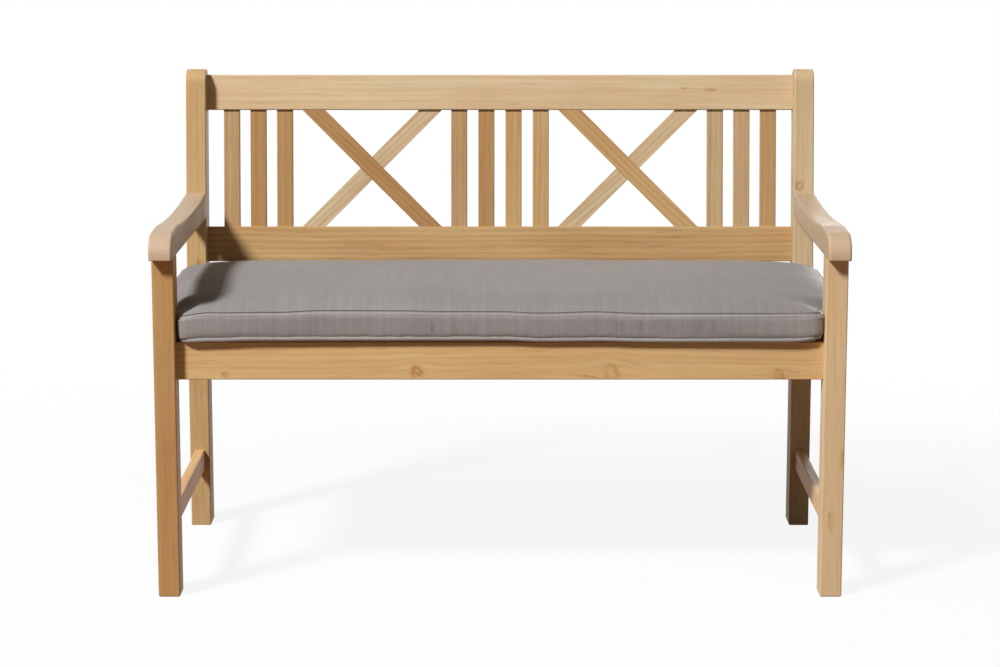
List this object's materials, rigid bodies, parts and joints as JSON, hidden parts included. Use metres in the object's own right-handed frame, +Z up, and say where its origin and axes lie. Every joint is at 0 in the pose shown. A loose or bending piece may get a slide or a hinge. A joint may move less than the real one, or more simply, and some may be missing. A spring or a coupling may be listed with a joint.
{
  "type": "garden bench",
  "caption": "Two-seat wooden garden bench with a raked slat-and-cross back, dished arms and a loose piped box cushion.",
  "frame": {"origin": "on the floor, at the middle of the bench's bounding box", "axes": "+X to the bench's left hand as someone sits in it, which is the right of the picture; +Y from the front to the back; +Z up"},
  "size_m": [1.204, 0.6422, 0.88],
  "materials": {
    "bench_wood": "sanded, unfinished straight-grained hardwood, light honey brown",
    "peg_wood": "end grain of hardwood pegs, a little darker",
    "screw_steel": "plain stainless",
    "cover_fabric": "warm grey ribbed outdoor weave",
    "piping_fabric": "the same cloth wrapped round a cord",
    "core_foam": "pale open-cell foam"
  },
  "bodies": {
    "bench_frame": {"arm_left": "bench_wood", "arm_right": "bench_wood", "back_leg_left": "bench_wood", "back_leg_right": "bench_wood", "back_slat_01": "bench_wood", "back_slat_02": "bench_wood", "back_slat_03": "bench_wood", "back_slat_04": "bench_wood", "back_slat_05": "bench_wood", "back_slat_06": "bench_wood", "back_slat_07": "bench_wood", "back_slat_08": "bench_wood", "back_slat_09": "bench_wood", "back_slat_10": "bench_wood", "falling_brace_left": "bench_wood", "falling_brace_right": "bench_wood", "front_leg_left": "bench_wood", "front_leg_right": "bench_wood", "front_seat_rail": "bench_wood", "lower_back_rail": "bench_wood", "rear_seat_rail": "bench_wood", "rising_brace_left": "bench_wood", "rising_brace_right": "bench_wood", "seat_board_1": "bench_wood", "seat_board_2": "bench_wood", "seat_board_3": "bench_wood", "seat_board_4": "bench_wood", "seat_board_5": "bench_wood", "seat_board_6": "bench_wood", "seat_board_7": "bench_wood", "seat_centre_bearer": "bench_wood", "seat_screws": "screw_steel", "side_seat_rail_left": "bench_wood", "side_seat_rail_right": "bench_wood", "side_stretcher_left": "bench_wood", "side_stretcher_right": "bench_wood", "tenon_pegs": "peg_wood", "top_back_rail": "bench_wood"},
    "loose_cushion": {"cushion_core": "core_foam", "cushion_cover": "cover_fabric", "cushion_lower_piping": "piping_fabric", "cushion_upper_piping": "piping_fabric"}
  },
  "joints": [
    {"name": "cushion_lift", "type": "slide", "parent": "bench_frame", "child": "loose_cushion", "axis": [0, 0, 1], "range_m": [0, 0.06]}
  ]
}
